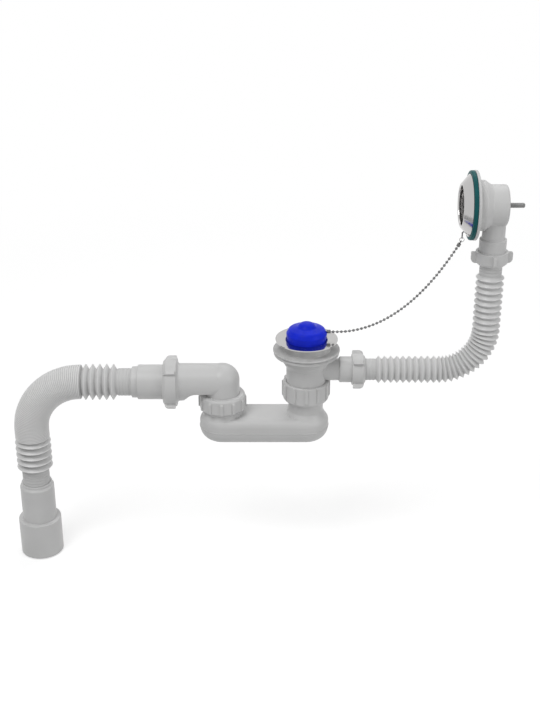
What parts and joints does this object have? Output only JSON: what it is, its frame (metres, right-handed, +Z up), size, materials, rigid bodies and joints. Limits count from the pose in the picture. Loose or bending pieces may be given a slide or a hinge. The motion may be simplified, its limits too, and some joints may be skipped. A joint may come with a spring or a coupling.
{
  "type": "bath waste and overflow",
  "caption": "Bath waste with plug on a ball chain, shallow trap with outlet hose, and hose to an overflow.",
  "frame": {"origin": "on the waste's axis, in the underside of the steel flange, where the bath floor lies", "axes": "+Z up out of the waste, +X from the waste towards the overflow, which faces -X"},
  "size_m": [0.5732, 0.0752, 0.4707],
  "materials": {
    "pale_plastic": "satin moulded polypropylene",
    "hose_plastic": "satin blown polypropylene",
    "teal_seal": "matte moulded rubber",
    "pale_seal": "matte moulded rubber",
    "blue_plug": "satin moulded rubber",
    "bright_steel": "polished stainless",
    "grey_steel": "plain stainless wire and balls",
    "fixing_steel": "dull stainless"
  },
  "bodies": {
    "root": {"plug": "blue_plug", "plug_chain_stud": "bright_steel", "ball_chain": "grey_steel", "chain_clasp": "grey_steel", "split_ring": "grey_steel", "chain_hook": "grey_steel", "waste_cup": "bright_steel", "waste_screw": "fixing_steel", "waste_captive_nut": "fixing_steel", "waste_gasket": "pale_seal", "waste_body": "pale_plastic", "waste_union_nut": "pale_plastic", "waste_union_seal": "teal_seal", "trap_body": "pale_plastic", "outlet_union_nut": "pale_plastic", "outlet_union_seal": "teal_seal", "outlet_elbow": "pale_plastic", "outlet_wing_nut": "pale_plastic", "outlet_cone_seal": "teal_seal", "outlet_cuff": "pale_plastic", "outlet_hose": "hose_plastic", "outlet_adaptor": "pale_plastic", "branch_wing_nut": "pale_plastic", "branch_cone_seal": "teal_seal", "overflow_hose": "hose_plastic", "overflow_wing_nut": "pale_plastic", "overflow_cone_seal": "teal_seal", "overflow_elbow": "pale_plastic", "overflow_gasket": "teal_seal", "overflow_cup": "bright_steel", "overflow_screw": "fixing_steel", "overflow_captive_nut": "fixing_steel"}
  },
  "joints": []
}
